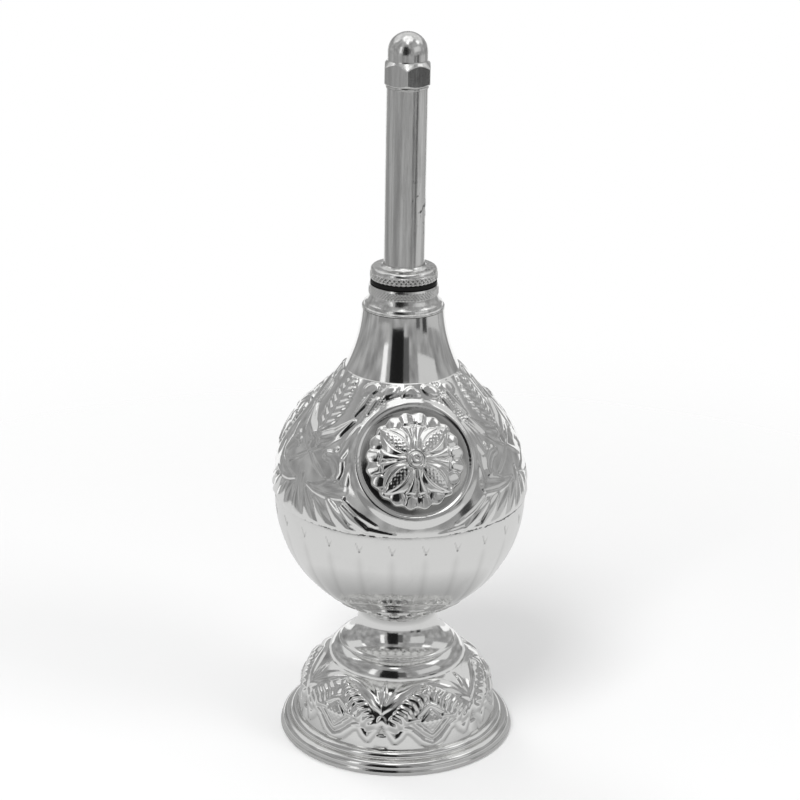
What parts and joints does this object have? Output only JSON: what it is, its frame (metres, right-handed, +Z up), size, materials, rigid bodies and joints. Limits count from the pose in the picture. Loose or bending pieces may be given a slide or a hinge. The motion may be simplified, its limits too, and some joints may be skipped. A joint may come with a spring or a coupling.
{
  "type": "aspergillum",
  "caption": "Standing silver-plated holy-water sprinkler: round embossed bottle on a domed foot, screw-in tube spout with seal ring, and a hexagon cap nut with a nozzle hole.",
  "frame": {"origin": "centre of the foot's flat lower edge, on the table", "axes": "+Z up the object's axis to the nozzle, -Y towards the front of the picture"},
  "size_m": [0.077, 0.0776, 0.2183],
  "materials": {
    "silver_plate": "polished silver plate with fine scratches",
    "nickel_plate": "bright nickel plate, slightly worn",
    "seal_rubber": "matte black rubber",
    "plain_steel": "plain zinc-plated steel",
    "plain_brass": "plain brass"
  },
  "bodies": {
    "vessel": {"foot_shell": "silver_plate", "bowl_lower": "silver_plate", "bowl_upper": "silver_plate", "neck_cone": "silver_plate", "neck_collar": "nickel_plate", "foot_screw": "plain_steel", "foot_washer": "plain_steel", "foot_nut": "plain_brass"},
    "seal": {"seal_ring": "seal_rubber"},
    "spout": {"spout_base": "nickel_plate", "spout_tube": "nickel_plate"},
    "washer": {"cap_washer": "nickel_plate"},
    "cap": {"sprinkler_cap": "nickel_plate"}
  },
  "joints": [
    {"name": "seal_lift", "type": "slide", "parent": "vessel", "child": "seal", "axis": [0, 0, 1], "range_m": [0, 0.006]},
    {"name": "spout_unscrew", "type": "hinge", "parent": "seal", "child": "spout", "pos_m": [0, 0, 0.144], "axis": [0, 0, 1], "range_deg": [0, 1440]},
    {"name": "washer_lift", "type": "slide", "parent": "spout", "child": "washer", "axis": [0, 0, 1], "range_m": [0, 0.006]},
    {"name": "cap_unscrew", "type": "hinge", "parent": "washer", "child": "cap", "pos_m": [0, 0, 0.203], "axis": [0, 0, 1], "range_deg": [0, 2160]}
  ],
  "couplings": [
    {"joint": "spout_unscrew", "follows": "seal_lift", "rad_per_m": 4188.8},
    {"joint": "cap_unscrew", "follows": "washer_lift", "rad_per_m": 6283.2}
  ]
}
